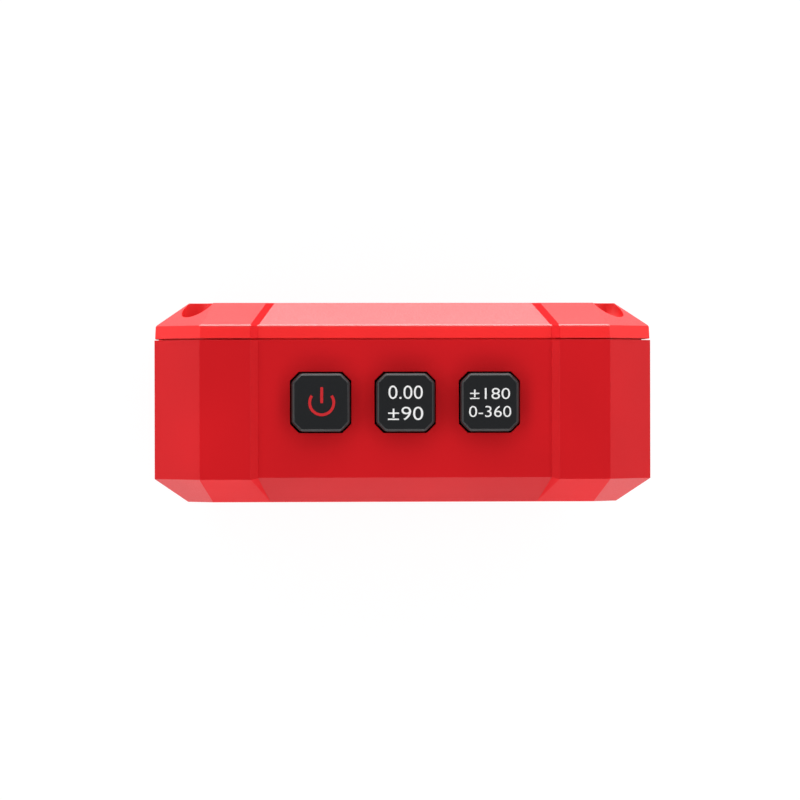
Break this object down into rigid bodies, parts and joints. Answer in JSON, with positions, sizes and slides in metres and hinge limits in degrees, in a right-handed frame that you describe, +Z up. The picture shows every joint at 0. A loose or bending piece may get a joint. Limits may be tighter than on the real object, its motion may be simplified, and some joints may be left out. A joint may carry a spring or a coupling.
{
  "type": "digital angle gauge",
  "caption": "Compact digital angle gauge: a faceted red case on a grooved magnetic base, with a display window, sprung keys on top and a sliding battery door.",
  "frame": {"origin": "in the plane of the base, under the middle of the case", "axes": "+Z up towards the keys, -Y towards the display side, +X to the right of someone who reads the display"},
  "size_m": [0.07, 0.028, 0.0708],
  "materials": {
    "red_plastic": "satin moulded, with a fine spark texture",
    "key_plastic": "satin moulded",
    "window": "polished, with a dark border behind",
    "foam": "matt",
    "lcd": "polarised, grey green",
    "white_plastic": "moulded",
    "elastomer": "matt",
    "circuit_board": "solder mask",
    "chip": "matt moulded",
    "steel": "zinc plated",
    "pin_metal": "plated",
    "switch_plastic": "moulded",
    "stem_plastic": "moulded",
    "contact_metal": "nickel plated",
    "cell": "plain printed sleeve",
    "magnet": "nickel plated"
  },
  "bodies": {
    "case": {"front_case": "red_plastic", "back_cover": "red_plastic", "display_window": "window", "window_gasket": "foam", "lcd_panel": "lcd", "light_guide": "white_plastic", "display_frame": "white_plastic", "elastomer_strip": "elastomer", "main_board": "circuit_board", "key_board": "circuit_board", "controller_chip": "chip", "tilt_sensor": "chip", "board_screws": "steel", "case_screws": "steel", "link_pins": "pin_metal", "power_switch": "switch_plastic", "reference_switch": "switch_plastic", "hold_switch": "switch_plastic", "bridge_contact": "contact_metal", "positive_contact": "contact_metal", "negative_contact": "contact_metal", "upper_spring": "contact_metal", "lower_spring": "contact_metal", "upper_cell": "cell", "lower_cell": "cell", "base_magnet_front_left": "magnet", "base_magnet_front_right": "magnet", "base_magnet_back_left": "magnet", "base_magnet_back_right": "magnet", "left_magnet_low": "magnet", "left_magnet_high": "magnet", "right_magnet_low": "magnet", "right_magnet_high": "magnet"},
    "power_button": {"power_key": "key_plastic", "power_switch_stem": "stem_plastic"},
    "reference_button": {"reference_key": "key_plastic", "reference_switch_stem": "stem_plastic"},
    "hold_button": {"hold_key": "key_plastic", "hold_switch_stem": "stem_plastic"},
    "door": {"battery_door": "red_plastic"}
  },
  "joints": [
    {"name": "power_press", "type": "slide", "parent": "case", "child": "power_button", "axis": [0, 0, -1], "range_m": [0, 0.0004], "stiffness_N_per_m": 2500},
    {"name": "reference_press", "type": "slide", "parent": "case", "child": "reference_button", "axis": [0, 0, -1], "range_m": [0, 0.0004], "stiffness_N_per_m": 2500},
    {"name": "hold_press", "type": "slide", "parent": "case", "child": "hold_button", "axis": [0, 0, -1], "range_m": [0, 0.0004], "stiffness_N_per_m": 2500},
    {"name": "door_slide", "type": "slide", "parent": "case", "child": "door", "axis": [1, 0, 0], "range_m": [0, 0.062]}
  ]
}
